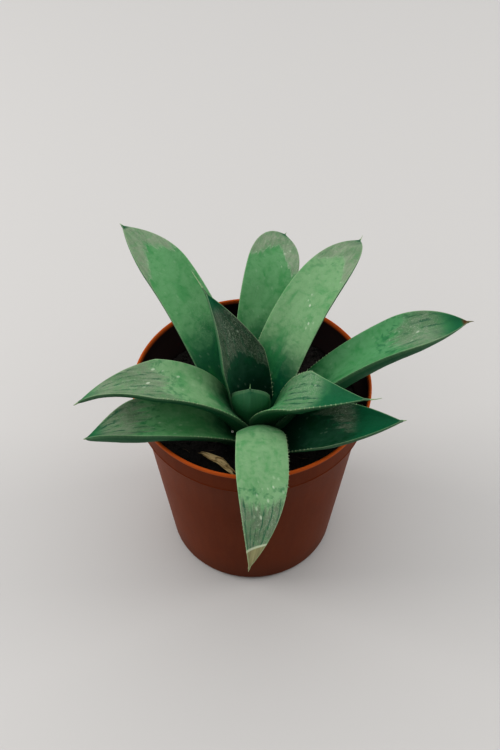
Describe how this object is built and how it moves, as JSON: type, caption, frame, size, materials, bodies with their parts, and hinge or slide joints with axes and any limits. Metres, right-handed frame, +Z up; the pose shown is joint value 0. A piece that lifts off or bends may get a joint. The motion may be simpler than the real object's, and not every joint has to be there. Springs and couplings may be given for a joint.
{
  "type": "potted succulent",
  "caption": "Rosette of broad, fleshy, channelled leaves with fine marginal teeth and bristle tips, growing in soil in a small tapered round pot with a collar and a drained base.",
  "frame": {"origin": "middle of the pot's underside, on the pot's axis; the front leaf arches over the rim towards -Y", "axes": "+Z up along the pot's axis, +X to the right and +Y to the back as the picture shows it"},
  "size_m": [0.1352, 0.1429, 0.1243],
  "materials": {
    "pot": "thin moulded terracotta-coloured plastic, satin",
    "soil": "dark peat potting soil, rough and damp",
    "crown": "pale fibrous stem and root",
    "leaf_green": "living leaf, fleshy, satin with a faint waxy bloom",
    "leaf_shade": "living leaf, darker green, satin",
    "dry_strip": "dry papery leaf base, matt",
    "perlite": "white porous grain, matt"
  },
  "bodies": {
    "root": {"pot": "pot", "soil": "soil", "crown": "crown", "leaf_01_heart": "leaf_shade", "leaf_02_inner": "leaf_shade", "leaf_03_short_right": "leaf_green", "leaf_04_left": "leaf_green", "leaf_05_back_right": "leaf_green", "leaf_06_front": "leaf_green", "leaf_07_back_left": "leaf_green", "leaf_08_right": "leaf_green", "leaf_09_low_left": "leaf_shade", "leaf_10_back": "leaf_green", "leaf_11_low_right": "leaf_shade", "dry_strip": "dry_strip", "perlite_grain": "perlite"}
  },
  "joints": []
}
